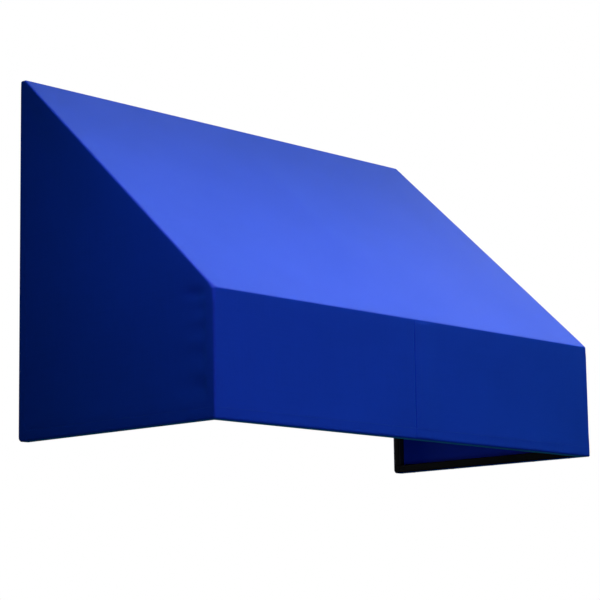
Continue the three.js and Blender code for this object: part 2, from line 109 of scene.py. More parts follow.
# ------------------------------------------------------------------ small maths
def smooth(x, a, b):
    t = np.clip((np.asarray(x, float) - a) / (b - a), 0, 1)
    return t * t * (3 - 2 * t)


def bump(x, c, w):
    return np.exp(-(((np.asarray(x, float) - c) / w) ** 2))


def ripple(a, b, seed, scale):
    """Smooth low-frequency unevenness, about -1 to 1."""
    rng = np.random.default_rng(seed)
    out = np.zeros_like(np.asarray(a, float))
    for k in range(7):
        f = (0.6 + 0.35 * k) / scale
        ang = rng.uniform(0, 2 * math.pi)
        ph = rng.uniform(0, 2 * math.pi)
        out += np.sin(2 * math.pi * f * (a * math.cos(ang) + b * math.sin(ang)) + ph) / (1 + 0.55 * k)
    return out / 2.4


def spread(length, n=None, h0=0.8, h1=12.0, k=0.35):
    """Grid positions from 0 to length, close together near both ends."""
    s = np.linspace(0, length, 6001)
    d = np.minimum(s, length - s)
    dens = 1 / np.minimum(h1, h0 + k * d)
    c = np.concatenate([[0], np.cumsum((dens[1:] + dens[:-1]) / 2 * np.diff(s))])
    if n is None:
        n = int(round(c[-1]))
    return np.interp(np.linspace(0, c[-1], n + 1), c, s)


def with_points(a, points, clear):
    keep = [v for v in a if min(abs(v - p) for p in points) > clear]
    return np.array(sorted(keep + list(points)))


# ------------------------------------------------------------------ the cover's sharp form and its rounding
POLY = np.array([[BACK, 0], [FRONT, 0], [FRONT, VAL], [RIDGE, HIGH], [BACK, HIGH]], float)
NORM = np.array([[0, -1], [1, 0], [SIN, COS], [0, 1], [-1, 0]], float)  # outward, edge i from POLY[i]
WV = []
for i in range(5):
    n0, n1 = NORM[i - 1], NORM[i]
    WV.append((n0 + n1) / (1 + n0 @ n1))
WV = np.array(WV)


def nearest_inside(q, r):
    """Nearest point, in (u, z), of the side outline drawn in by r."""
    best = q.copy()
    dist = np.full(len(q), np.inf)
    slack = np.stack([(q - POLY[i]) @ NORM[i] + r for i in range(5)], 1)
    inside = (slack <= 1e-9).all(1)
    for i in range(5):
        a = POLY[i] - r[:, None] * WV[i]
        b = POLY[(i + 1) % 5] - r[:, None] * WV[(i + 1) % 5]
        ab = b - a
        t = np.clip(((q - a) * ab).sum(1) / (ab * ab).sum(1), 0, 1)
        c = a + ab * t[:, None]
        d = np.linalg.norm(q - c, axis=1)
        m = (d < dist) & ~inside
        best[m] = c[m]
        dist[m] = d[m]
    return best


def rounded(p):
    """Points on the sharp prism to points on its rounded form."""
    p = p.copy()
    # rear bottom corner of the side outline
    a, b = p[:, 1] - BACK, p[:, 2]
    near = (a < ELBOW) & (b < ELBOW)
    dx, dz = ELBOW - a[near], ELBOW - b[near]
    m, ln = np.maximum(dx, dz), np.maximum(np.hypot(dx, dz), 1e-9)
    p[near, 1] = BACK + ELBOW - dx * m / ln
    p[near, 2] = ELBOW - dz * m / ln
    # corner radius, larger over the moulded corners at the eave and at the top
    eave = np.sqrt((HALF - np.abs(p[:, 0])) ** 2 + (FRONT - p[:, 1]) ** 2 + (VAL - p[:, 2]) ** 2)
    top = np.sqrt((HALF - np.abs(p[:, 0])) ** 2 + (RIDGE - p[:, 1]) ** 2 + (HIGH - p[:, 2]) ** 2)
    hand = p[:, 0] < 0
    r = ROUND + (SOFT - ROUND) * smooth(p[:, 2], 28, 55) * smooth(p[:, 1] - BACK, 26, 50)
    r += (np.where(hand, CORNER[-1], CORNER[1]) - r) * (1 - smooth(eave, 5, 26))
    r += (np.where(hand, CROWN[-1], CROWN[1]) - r) * (1 - smooth(top, 4, 30))
    q = nearest_inside(p[:, 1:], r)
    if near.any():
        v = p[near, 1:] - [BACK + ELBOW, ELBOW]
        rho = np.maximum(np.linalg.norm(v, axis=1), 1e-9)
        q[near] = [BACK + ELBOW, ELBOW] + v * (np.minimum(rho, ELBOW - r[near]) / rho)[:, None]
    x_in = np.clip(p[:, 0], -(HALF - r), HALF - r)
    inner = np.column_stack([x_in, q])
    v = p - inner
    ln = np.maximum(np.linalg.norm(v, axis=1), 1e-9)
    return inner + v * (r / ln)[:, None]


# ------------------------------------------------------------------ how the tight cloth gives between the tubes
def slope_give(x, s):
    ax = np.abs(x)
    a = np.clip((ax - 9.6) / (XIN - 9.6), 0, 1)
    b = np.clip((s - 10) / (SLOPE - 10 - 24), 0, 1)
    bay = np.sin(math.pi * a) * np.sin(math.pi * b) ** 0.85
    d = -2.0 * bay
    mask = smooth(ax, 12, 60) * smooth(XIN - ax, 0, 50) * smooth(s, 16, 70) * smooth(SLOPE - s, 24, 80)
    d += 0.35 * ripple(x, s, 11, 420) * mask
    # faint pull lines square to the rakes
    d += -0.22 * (0.5 - 0.5 * np.cos(2 * math.pi * (s / 96 + 0.2 * np.sin(s / 61)))) * bump(
        ax, XIN - 26, 26) * smooth(XIN - ax, 0, 14) * smooth(s, 30, 90) * smooth(SLOPE - s, 30, 90)
    return d


def wing_give(u, z, side):
    rake = (HIGH - (u - RIDGE) * TAN - z) * COS
    e = np.minimum.reduce([u - BACK - TUBE - 1.5, FRONT - TUBE - 1.5 - u, z - TUBE - 1.5, rake - TUBE - 1.5])
    e = np.maximum(e, 0)
    d = -2.6 * (1 - np.exp(-((e / 75) ** 1.3)))
    d += 0.5 * ripple(u, z, 21 + side, 300) * smooth(e, 4, 70)
    # puckers along the front post, a hand's width apart
    f = FRONT - TUBE - 1.5 - u
    ph = z / 50 + 0.16 * np.sin(z / 33 + side) + 0.3 * side
    puck = (0.5 - 0.5 * np.cos(2 * math.pi * ph)) ** 1.4
    d += -2.6 * puck * smooth(f, 0, 12) * np.exp(-np.maximum(f - 10, 0) / 30) * smooth(z, 24, 60) * smooth(VAL - z, 6, 40)
    # crease running back from the eave corner
    line = z - (VAL - 13 + (FRONT - u) * 0.10)
    d += -2.6 * bump(line, 0, 12.0) * smooth(f, 6, 22) * (1 - smooth(f, 30, 82))
    # slight pull at the rake
    ph = (HIGH - z) / (88 * SIN) + 0.22 * np.sin(z / 57 + side)
    d += -0.3 * (0.5 - 0.5 * np.cos(2 * math.pi * ph)) * smooth(e, 0, 10) * bump(rake - TUBE, 18, 24) * smooth(z, VAL + 20, VAL + 90)
    # the turned hem shows as a faint line above the bottom bar
    d += -0.16 * bump(z, 23.2, 1.6) * smooth(u, 30, 44) * smooth(FRONT - u, 24, 40)
    return d


def valance_give(x, z):
    ax = np.abs(x)
    a = np.clip((ax - 9.6) / (XIN - 9.6), 0, 1)
    b = np.clip((z - 21) / (VAL - 21 - 21), 0, 1)
    d = -0.9 * np.sin(math.pi * a) * np.sin(math.pi * b)
    mask = smooth(ax, 14, 70) * smooth(XIN - ax, 0, 50) * smooth(z, 22, 60) * smooth(VAL - z, 22, 60)
    d += 0.35 * ripple(x, z, 31, 330) * mask
    # lap seam at mid-width: the right-hand strip lies over the left-hand one
    lap = smooth(x, LAP - 0.25, LAP + 0.25) * (1 - smooth(x, 14, 70))
    d += 0.9 * lap * smooth(VAL - z, 4.0, 7.5) * smooth(z, 1.5, 3)
    deep = 0.35 + 1.15 * smooth(z, 21, 30) * smooth(VAL - z, 21, 30)
    d += -deep * bump(x, LAP - 1.0, 0.75) * smooth(VAL - z, 3.0, 6.0) * smooth(z, 1.0, 3.0)
    return d


def shape(p):
    """Sharp prism points (x, u, z) to the finished outer face of the cloth."""
    p = np.asarray(p, float)
    lip = (p[:, 1] < LIP + 1e-3) & (p[:, 1] > LIP - 1e-3) & (p[:, 2] > 1e-6) & (np.abs(p[:, 0]) < LIP_X + 1e-3)
    fold = (np.abs(p[:, 1] - LIP) < 1e-3) & (p[:, 2] < 1e-6) & (np.abs(p[:, 0]) < LIP_X + 1e-3)
    out = rounded(p)
    out[lip] = p[lip]
    out[fold] = p[fold] + [0, 0.6, 0.6]
    x, u, z = p.T
    plane = (u - FRONT) * SIN + (z - VAL) * COS
    on_slope = (np.abs(plane) < 1e-3) & ~lip
    on_val = (np.abs(u - FRONT) < 1e-3) & (z < VAL + 1e-3)
    on_wing = (np.abs(np.abs(x) - HALF) < 1e-3)
    s = (HIGH - z) / SIN
    d = np.where(on_slope & ~on_wing & (z > VAL + 1e-3), slope_give(x, s), 0.0)
    out += d[:, None] * np.array([0, SIN, COS])
    d = np.where(on_val & ~on_wing, valance_give(x, z), 0.0)
    out += d[:, None] * np.array([0, 1.0, 0])
    side = np.where(x < 0, 0, 1)
    d = np.where(on_wing, np.where(side == 0, wing_give(u, z, 0), wing_give(u, z, 1)), 0.0)
    out[:, 0] += d * np.sign(x)
    return out


# ------------------------------------------------------------------ cover mesh
xs = spread(2 * HALF) - HALF
xs = with_points(xs, [-RETURN, -LIP_X, LIP_X, RETURN], 1.6)
xs = with_points(xs, [LAP - 2.8, LAP - 1.9, LAP - 1.45, LAP - 1.0, LAP - 0.6, LAP - 0.25, LAP, LAP + 0.25, LAP + 0.8, LAP + 2.4, 0.0, 9.0, 11.5, 14.5, 17.0], 2.6)
zl = with_points(spread(VAL), [20.4, 22.0, 23.2, 24.4, 26.0], 2.6)
ss = spread(SLOPE)
ss = with_points(ss, [(HIGH - REAR_Z) / SIN], 4.0)
zu = (HIGH - ss * SIN)[::-1]
zu[0], zu[-1] = VAL, HIGH
zs = np.concatenate([zl[:-1], zu])
us = with_points(spread(FRONT - BACK) + BACK, [LIP, LIP + 2.0], 1.6)
fit = us - (spread(FRONT - BACK, len(us) - 1) + BACK)


def u_row(z):
    if z <= VAL + 1e-6:
        return us
    far = RIDGE + (HIGH - z) / TAN if z < HIGH else RIDGE
    w = float(1 - smooth(z, VAL, VAL + 60))
    return spread(far - BACK, len(us) - 1) + BACK + fit * w * (far - BACK) / (FRONT - BACK)


rows_u = [u_row(z) for z in zs]

index, verts, quads, flat_uv = {}, [], [], []


def vid(x, u, z):
    key = (round(x, 4), round(u, 4), round(z, 4))
    if key not in index:
        index[key] = len(verts)
        verts.append((x, u, z))
    return index[key]


def patch(grid, normal, uv, keep=None):
    """grid[i][j] = (x, u, z); uv(point) gives the flat cloth position in mm; normal is outward in (x, u, z)."""
    ids = [[vid(*p) for p in row] for row in grid]
    n = np.array(normal, float)
    flip = None
    for i in range(len(grid) - 1):
        for j in range(len(grid[0]) - 1):
            a, b, c, d = grid[i][j], grid[i + 1][j], grid[i + 1][j + 1], grid[i][j + 1]
            if keep is not None and not keep(np.mean([a, b, c, d], 0)):
                continue
            if flip is None:
                v1, v2 = np.subtract(c, a), np.subtract(d, b)
                # (x, u, z) is left-handed in the world, so the cross product is turned round
                flip = -np.cross(v1, v2) @ n < 0
            q = [(ids[i][j], a), (ids[i + 1][j], b), (ids[i + 1][j + 1], c), (ids[i][j + 1], d)]
            if flip:
                q = q[::-1]
            quads.append([t[0] for t in q])
            flat_uv.append([uv(t[1]) for t in q])


# the strip over the top and down the front
patch([[(x, RIDGE + s * COS, HIGH - s * SIN) if 0 < s < SLOPE else
        ((x, RIDGE, HIGH) if s <= 0 else (x, FRONT, VAL)) for x in xs] for s in ss],
      (0, SIN, COS), lambda p: (p[0], (HIGH - p[2]) / SIN))
patch([[(x, FRONT, z) for x in xs] for z in zl], (0, 1, 0), lambda p: (p[0], SLOPE + VAL - p[2]))
patch([[(x, u, HIGH) for x in xs] for u in rows_u[-1]], (0, 0, 1), lambda p: (p[0], p[1] - RIDGE))
# wings
for k in (-1, 1):
    patch([[(k * HALF, u, z) for u in rows_u[i]] for i, z in enumerate(zs)], (k, 0, 0),
          lambda p, k=k: (k * 1000 + k * p[1], 900 - p[2]))
# returns: under the bottom, behind, and the lip behind the front bottom bar
patch([[(x, u, 0.0) for x in xs] for u in us], (0, 0, -1), lambda p: (p[0], SLOPE + VAL + FRONT - p[1]),
      keep=lambda c: abs(c[0]) > RETURN or c[1] > LIP)
patch([[(x, BACK, z) for x in xs] for z in zs], (0, -1, 0), lambda p: (p[0], -(HIGH - p[2])),
      keep=lambda c: abs(c[0]) > RETURN or c[2] > REAR_Z)
xl = [x for x in xs if abs(x) <= LIP_X + 1e-6]
patch([[(x, LIP, z) for x in xl] for z in (0.0, 2.0, 5.0, 10.0, 15.0, LIP_TOP)], (0, -1, 0),
      lambda p: (p[0], SLOPE + VAL + FRONT - LIP + p[2]))

used, order = np.unique(np.array(quads), return_inverse=True)
quads = order.reshape(-1, 4)
sharp = np.array(verts)[used]
outer = world(shape(sharp))


def vertex_normals(v, f):
    n = np.zeros_like(v)
    d1, d2 = v[f[:, 2]] - v[f[:, 0]], v[f[:, 3]] - v[f[:, 1]]
    fn = np.cross(d1, d2)
    fn /= np.maximum(np.linalg.norm(fn, axis=1), 1e-15)[:, None]
    for c in range(4):
        e1 = v[f[:, (c + 1) % 4]] - v[f[:, c]]
        e2 = v[f[:, c - 1]] - v[f[:, c]]
        cosang = (e1 * e2).sum(1) / np.maximum(np.linalg.norm(e1, axis=1) * np.linalg.norm(e2, axis=1), 1e-18)
        ang = np.arccos(np.clip(cosang, -1, 1))
        np.add.at(n, f[:, c], fn * ang[:, None])
    return n / np.maximum(np.linalg.norm(n, axis=1), 1e-12)[:, None]


def thicken(v, f, uv, t):
    """A closed sheet: the outer face as given, the inner face t inside it, and the cut edges between."""
    n = vertex_normals(v, f)
    inner = v - n * t
    count = len(v)
    edges = {}
    for q in f:
        for c in range(4):
            a, b = int(q[c]), int(q[(c + 1) % 4])
            if (b, a) in edges:
                del edges[(b, a)]
            else:
                edges[(a, b)] = True
    rim = np.array([[b, a, a + count, b + count] for a, b in edges])
    where = {}
    for q, w in zip(f, uv):
        for c in range(4):
            where.setdefault(int(q[c]), w[c])
    rim_uv = [[where[b], where[a], where[a], where[b]] for a, b in edges]
    faces = np.vstack([f, f[:, ::-1] + count, rim])
    return np.vstack([v, inner]), faces, list(uv) + [w[::-1] for w in uv] + rim_uv


def new_object(name, v, faces, uv=None, smooth_shade=True):
    me = bpy.data.meshes.new(name)
    me.from_pydata([tuple(p) for p in v], [], [list(map(int, q)) for q in faces])
    if uv is not None:
        layer = me.uv_layers.new(name="cloth")
        flat = np.array([c for w in uv for c in w], float).reshape(-1, 2) * 0.001
        layer.data.foreach_set("uv", flat.astype(np.float32).ravel())
    me.polygons.foreach_set("use_smooth", [smooth_shade] * len(me.polygons))
    me.validate()
    me.update()
    o = bpy.data.objects.new(name, me)
    bpy.context.scene.collection.objects.link(o)
    return o


v, f, w = thicken(outer, quads, flat_uv, THICK * 0.001)
cover = new_object("awning_cover", v, f, w)
cover.data.set_sharp_from_angle(angle=math.radians(55))


# ------------------------------------------------------------------ materials
def material(name):
    m = bpy.data.materials.new(name)
    m.use_nodes = True
    nt = m.node_tree
    for n in list(nt.nodes):
        nt.nodes.remove(n)
    out = nt.nodes.new("ShaderNodeOutputMaterial")
    bsdf = nt.nodes.new("ShaderNodeBsdfPrincipled")
    nt.links.new(bsdf.outputs[0], out.inputs[0])
    return m, nt, bsdf


def node(nt, kind, **values):
    n = nt.nodes.new(kind)
    for k, val in values.items():
        if k in n.inputs:
            n.inputs[k].default_value = val
        else:
            setattr(n, k, val)
    return n


def math_node(nt, op, a, b=None, clamp=False):
    n = nt.nodes.new("ShaderNodeMath")
    n.operation = op
    n.use_clamp = clamp
    for i, val in enumerate((a, b)):
        if val is None:
            continue
        if isinstance(val, (int, float)):
            n.inputs[i].default_value = val
        else:
            nt.links.new(val, n.inputs[i])
    return n.outputs[0]


def ramp(nt, fac, stops):
    n = nt.nodes.new("ShaderNodeValToRGB")
    nt.links.new(fac, n.inputs[0])
    el = n.color_ramp.elements
    while len(el) > 1:
        el.remove(el[-1])
    el[0].position, el[0].color = stops[0][0], (*stops[0][1], 1)
    for pos, col in stops[1:]:
        e = el.new(pos)
        e.color = (*col, 1)
    return n.outputs[0]


BLUE = (0.0022, 0.0400, 0.735)


def canvas(name, tone=1.0):
    """Solution-dyed acrylic canvas: plain weave, matt with a soft nap, slight slub and mottle."""
    m, nt, b = material(name)
    uv = node(nt, "ShaderNodeUVMap", uv_map="cloth")
    co = uv.outputs[0]
    # yarns, 0.62 mm warp and 0.74 mm weft, crossing in a plain weave
    sep = nt.nodes.new("ShaderNodeSeparateXYZ")
    nt.links.new(co, sep.inputs[0])
    wob = node(nt, "ShaderNodeTexNoise", Scale=260.0, Detail=1.0)
    nt.links.new(co, wob.inputs["Vector"])
    wobble = math_node(nt, "MULTIPLY", math_node(nt, "SUBTRACT", wob.outputs[0], 0.5), 1.1)
    a = math_node(nt, "ADD", math_node(nt, "MULTIPLY", sep.outputs[0], math.pi / 0.00062), wobble)
    c = math_node(nt, "ADD", math_node(nt, "MULTIPLY", sep.outputs[1], math.pi / 0.00074), wobble)
    sa = math_node(nt, "ABSOLUTE", math_node(nt, "SINE", a))
    sc = math_node(nt, "ABSOLUTE", math_node(nt, "SINE", c))
    over = math_node(nt, "ADD", math_node(nt, "MULTIPLY", math_node(nt, "MULTIPLY",
                     math_node(nt, "SINE", a), math_node(nt, "SINE", c)), 0.5), 0.5)
    weave = math_node(nt, "ADD", math_node(nt, "MULTIPLY", sa, over),
                      math_node(nt, "MULTIPLY", sc, math_node(nt, "SUBTRACT", 1.0, over)))
    # slubs: long thin variations along each yarn direction
    def streak(scale, across):
        mp = nt.nodes.new("ShaderNodeMapping")
        mp.inputs["Scale"].default_value = scale
        nt.links.new(co, mp.inputs[0])
        t = node(nt, "ShaderNodeTexNoise", Scale=1.0, Detail=3.0, Roughness=0.6)
        nt.links.new(mp.outputs[0], t.inputs["Vector"])
        return t.outputs[0]
    warp = streak((420.0, 7.0, 1.0), 0)
    weft = streak((6.0, 380.0, 1.0), 1)
    slub = math_node(nt, "ADD", math_node(nt, "MULTIPLY", warp, 0.5), math_node(nt, "MULTIPLY", weft, 0.5))
    mott = node(nt, "ShaderNodeTexNoise", Scale=5.5, Detail=4.0, Roughness=0.55)
    nt.links.new(co, mott.inputs["Vector"])
    mix = math_node(nt, "ADD", math_node(nt, "MULTIPLY", slub, 0.55), math_node(nt, "MULTIPLY", mott.outputs[0], 0.45))
    mix = math_node(nt, "ADD", mix, math_node(nt, "MULTIPLY", math_node(nt, "SUBTRACT", weave, 0.62), 0.16))
    lo = tuple(tone * k * s for k, s in zip(BLUE, (0.86, 0.90, 0.925)))
    mid = tuple(tone * k for k in BLUE)
    hi = tuple(tone * k * s for k, s in zip(BLUE, (1.18, 1.09, 1.055)))
    col = ramp(nt, mix, [(0.30, lo), (0.5, mid), (0.70, hi)])
    nt.links.new(col, b.inputs["Base Color"])
    rough = ramp(nt, mix, [(0.3, (0.63,) * 3), (0.7, (0.57,) * 3)])
    nt.links.new(rough, b.inputs["Roughness"])
    b.inputs["Specular IOR Level"].default_value = 0.18
    b.inputs["Sheen Weight"].default_value = 0.40
    b.inputs["Sheen Roughness"].default_value = 0.45
    b.inputs["Sheen Tint"].default_value = (0.03, 0.60, 1.0, 1.0)
    height = math_node(nt, "ADD", math_node(nt, "MULTIPLY", weave, 0.00010), math_node(nt, "MULTIPLY", slub, 0.00016))
    bm = node(nt, "ShaderNodeBump", Strength=0.55, Distance=1.0)
    nt.links.new(height, bm.inputs["Height"])
    nt.links.new(bm.outputs[0], b.inputs["Normal"])
    return m


def coated(name, colour, rough, grain, depth, metallic=0.0, wear=0.0):
    """Powder coat or moulded nylon: fine orange peel or grain, a little uneven gloss, and lighter rubbed edges."""
    m, nt, b = material(name)
    tc = nt.nodes.new("ShaderNodeTexCoord")
    co = tc.outputs["Object"]
    fine = node(nt, "ShaderNodeTexNoise", Scale=grain, Detail=3.0, Roughness=0.55)
    nt.links.new(co, fine.inputs["Vector"])
    broad = node(nt, "ShaderNodeTexNoise", Scale=14.0, Detail=4.0, Roughness=0.6)
    nt.links.new(co, broad.inputs["Vector"])
    lo = tuple(k * 0.75 for k in colour)
    hi = tuple(k * 1.35 for k in colour)
    mix = math_node(nt, "ADD", math_node(nt, "MULTIPLY", fine.outputs[0], 0.35),
                    math_node(nt, "MULTIPLY", broad.outputs[0], 0.65))
    col = ramp(nt, mix, [(0.35, lo), (0.65, hi)])
    if wear:
        geo = nt.nodes.new("ShaderNodeNewGeometry")
        edge = ramp(nt, geo.outputs["Pointiness"], [(0.515, (0, 0, 0)), (0.58, (1, 1, 1))])
        scuff = math_node(nt, "MULTIPLY", edge, ramp(nt, fine.outputs[0], [(0.48, (0, 0, 0)), (0.62, (1, 1, 1))]))
        blend = node(nt, "ShaderNodeMix", data_type="RGBA")
        nt.links.new(math_node(nt, "MULTIPLY", scuff, wear), blend.inputs[0])
        nt.links.new(col, blend.inputs[6])
        blend.inputs[7].default_value = (0.10, 0.10, 0.105, 1)
        col = blend.outputs[2]
    nt.links.new(col, b.inputs["Base Color"])
    r = ramp(nt, mix, [(0.35, (rough - 0.06,) * 3), (0.65, (rough + 0.08,) * 3)])
    nt.links.new(r, b.inputs["Roughness"])
    b.inputs["Metallic"].default_value = metallic
    bm = node(nt, "ShaderNodeBump", Strength=0.6, Distance=1.0)
    nt.links.new(math_node(nt, "MULTIPLY", fine.outputs[0], depth), bm.inputs["Height"])
    nt.links.new(bm.outputs[0], b.inputs["Normal"])
    return m


def zinc(name):
    m, nt, b = material(name)
    tc = nt.nodes.new("ShaderNodeTexCoord")
    co = tc.outputs["Object"]
    cell = node(nt, "ShaderNodeTexVoronoi", Scale=900.0)
    nt.links.new(co, cell.inputs["Vector"])
    fine = node(nt, "ShaderNodeTexNoise", Scale=350.0, Detail=4.0)
    nt.links.new(co, fine.inputs["Vector"])
    mix = math_node(nt, "ADD", math_node(nt, "MULTIPLY", cell.outputs["Color"], 0.35),
                    math_node(nt, "MULTIPLY", fine.outputs[0], 0.65))
    nt.links.new(ramp(nt, mix, [(0.3, (0.42, 0.43, 0.44)), (0.7, (0.66, 0.67, 0.68))]), b.inputs["Base Color"])
    nt.links.new(ramp(nt, mix, [(0.3, (0.42,) * 3), (0.7, (0.28,) * 3)]), b.inputs["Roughness"])
    b.inputs["Metallic"].default_value = 0.9
    bm = node(nt, "ShaderNodeBump", Strength=0.5, Distance=1.0)
    nt.links.new(math_node(nt, "MULTIPLY", fine.outputs[0], 0.00008), bm.inputs["Height"])
    nt.links.new(bm.outputs[0], b.inputs["Normal"])
    return m


cloth = canvas("cloth_blue")
thread = coated("thread_blue", (0.0012, 0.0363, 0.64), 0.6, 2500.0, 0.00006)
thread.node_tree.nodes["Principled BSDF"].inputs["Sheen Weight"].default_value = 0.45
thread.node_tree.nodes["Principled BSDF"].inputs["Sheen Tint"].default_value = (0.01, 0.583, 1.0, 1.0)
tube_coat = coated("black_powder_coat", (0.0040, 0.0040, 0.0052), 0.46, 900.0, 0.00022, wear=0.3)
bracket_coat = coated("black_bracket_coat", (0.0060, 0.0060, 0.0072), 0.5, 1100.0, 0.00020, wear=0.45)
nylon = coated("black_nylon", (0.0050, 0.0050, 0.0060), 0.56, 2200.0, 0.00012)
for black in (tube_coat, bracket_coat, nylon):
    black.node_tree.nodes["Principled BSDF"].inputs["Specular IOR Level"].default_value = 0.32
steel = zinc("zinc_plate")

cover.data.materials.append(cloth)
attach(cover, "root")
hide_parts("cover_slope_panel", "cover_valance_left", "cover_valance_right",
            "cover_left_wing", "cover_right_wing")

# ------------------------------------------------------------------ CAD parts that stay: soft edges and their coats
by_slot = {"frame_tube": tube_coat, "connector": nylon, "bracket": bracket_coat, "screw": steel}
for name, o in nodes.items():
    if name.startswith("cover_"):
        continue
    me = o.data
    slot_name = me.materials[0].name.split(".")[0]
    me.materials[0] = by_slot[slot_name]
    if "custom_normal" in me.attributes:
        me.attributes.remove(me.attributes["custom_normal"])
    if "sharp_edge" in me.attributes:
        me.attributes.remove(me.attributes["sharp_edge"])
    if "sharp_face" in me.attributes:
        me.attributes.remove(me.attributes["sharp_face"])
    me.polygons.foreach_set("use_smooth", [True] * len(me.polygons))
    we = o.modifiers.new("weld", "WELD")
    we.merge_threshold = 0.00001
    be = o.modifiers.new("bevel", "BEVEL")
    be.width = {"frame_tube": 0.00035, "connector": 0.0004, "bracket": 0.0006, "screw": 0.0002}[slot_name]
    be.segments = 2
    be.limit_method = "ANGLE"
    be.angle_limit = math.radians(38)
    be.use_clamp_overlap = True
    wn = o.modifiers.new("normals", "WEIGHTED_NORMAL")
    wn.weight = 80
    wn.keep_sharp = False


# ------------------------------------------------------------------ stitching
def capsule(p, direction, up, length, width, height):
    """One lock stitch lying on the cloth: 6-sided, tapering into the cloth at both ends."""
    d = direction / np.linalg.norm(direction)
    n = up - d * (up @ d)
    n /= np.linalg.norm(n)
    t = np.cross(d, n)
    pts = [p - d * length / 2 - n * height * 0.3]
    for e, s in ((-0.27, 0.9), (0.27, 0.9)):
        for k in range(6):
            a = math.pi * k / 3
            pts.append(p + d * length * e + (t * math.cos(a) * width / 2 + n * math.sin(a) * height / 2) * s
                       + n * height * 0.12)
    pts.append(p + d * length / 2 - n * height * 0.3)
    faces = []
    for k in range(6):
        a, b = 1 + k, 1 + (k + 1) % 6
        faces += [[0, b, a], [a, b, b + 6, a + 6], [a + 6, b + 6, 13]]
    return pts, faces


def stitch_line(a, b, face, pitch=4.6):
    """Stitches from a to b, both (x, u, z) on one flat face of the sharp form; returns points and faces in metres."""
    a, b = np.array(a, float), np.array(b, float)
    n = max(2, int(np.linalg.norm(b - a) / pitch))
    t = (np.arange(n) + 0.5) / n
    mid = a + (b - a) * t[:, None]
    step = (b - a) / n * 0.5
    p = world(shape(mid))
    p0, p1 = world(shape(mid - step)), world(shape(mid + step))
    up = np.array([face[0], -face[1], face[2]], float)
    vs, fs = [], []
    for q, q0, q1 in zip(p, p0, p1):
        pts, faces = capsule(q + up * 0.0001, q1 - q0, up, np.linalg.norm(q1 - q0) * 0.72, 0.00070, 0.00042)
        k = len(vs)
        vs += pts
        fs += [[i + k for i in g] for g in faces]
    return vs, fs


def stitches(name, lines):
    vs, fs = [], []
    for line in lines:
        a, b = stitch_line(*line)
        k = len(vs)
        vs += a
        fs += [[i + k for i in g] for g in b]
    o = new_object(name, vs, fs)
    o.data.materials.append(thread)
    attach(o, "root")
    return o


def on_slope(x, s):
    return (x, RIDGE + s * COS, HIGH - s * SIN)


SL, VA = (0, SIN, COS), (0, 1, 0)
lines = []
for k in (-1, 1):
    lines.append((on_slope(k * (HALF - 8.5), 12), on_slope(k * (HALF - 8.5), SLOPE - 12), SL))
stitches("stitches_rakes", lines)
stitches("stitches_valance_hem", [((-HALF + 12, FRONT, 23.2), (HALF - 12, FRONT, 23.2), VA)])
lines = []
for k in (-1, 1):
    lines.append(((k * HALF, BACK + 26, 23.2), (k * HALF, FRONT - 10, 23.2), (k, 0, 0)))
    lines.append(((k * HALF, BACK + 22, 27), (k * HALF, BACK + 22, HIGH - 44), (k, 0, 0)))
stitches("stitches_wing_hems", lines)
stitches("stitches_lap", [((LAP + 3.5, FRONT, 24), (LAP + 3.5, FRONT, VAL - 9), VA),
                                            ((7.0, FRONT, 24), (7.0, FRONT, VAL - 9), VA)])


# ------------------------------------------------------------------ screws that hold the cloth to the bars
def lathe(profile, sides):
    """profile is (radius, height) from the axis at the seat round to the axis at the top."""
    vs, fs = [], []
    rings = []
    for r, h in profile:
        if r < 1e-9:
            rings.append([len(vs)])
            vs.append((0.0, 0.0, h))
        else:
            rings.append(list(range(len(vs), len(vs) + sides)))
            vs += [(r * math.cos(2 * math.pi * i / sides), r * math.sin(2 * math.pi * i / sides), h) for i in range(sides)]
    for a, b in zip(rings, rings[1:]):
        for i in range(sides):
            j = (i + 1) % sides
            if len(a) == 1:
                fs.append([a[0], b[j], b[i]] if len(b) > 1 else [])
            elif len(b) == 1:
                fs.append([a[i], a[j], b[0]])
            else:
                fs.append([a[i], a[j], b[j], b[i]])
    return vs, [g for g in fs if g]


def screw_at(name, points, axis, low=False):
    """Screws with their seats at points (x, u, z) and their heads along axis: hex washer heads, or low wafer heads."""
    flange = lathe([(0, 0), (0.0047, 0), (0.0050, 0.0002), (0.0050, 0.00055), (0.0046, 0.00085), (0.0030, 0.0010), (0, 0.0010)], 20)
    head = lathe([(0, 0.0009), (0.0031, 0.0009), (0.0031, 0.0022), (0.0027, 0.0026), (0.0016, 0.0026), (0.0012, 0.0021), (0, 0.0020)], 6)
    if low:
        flange = lathe([(0, 0), (0.0046, 0), (0.0050, 0.00015), (0.0048, 0.0004), (0.0038, 0.0007), (0.0024, 0.00085),
                        (0.0016, 0.00085)], 20)
        head = lathe([(0.0016, 0.00085), (0.0015, 0.0003), (0, 0.0002)], 4)
    w = Vector((axis[0], -axis[1], axis[2]))
    turn = Vector((0, 0, 1)).rotation_difference(w).to_matrix()
    vs, fs = [], []
    for i, p in enumerate(points):
        c = Vector(world(np.array(p, float)))
        spin = Matrix.Rotation(0.7 * i, 3, "Z")
        for part in (flange, head):
            k = len(vs)
            vs += [tuple(c + turn @ (spin @ Vector(q))) for q in part[0]]
            fs += [[a + k for a in g] for g in part[1]]
    o = new_object(name, vs, fs)
    o.data.set_sharp_from_angle(angle=math.radians(40))
    o.data.materials.append(steel)
    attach(o, "root")
    return o


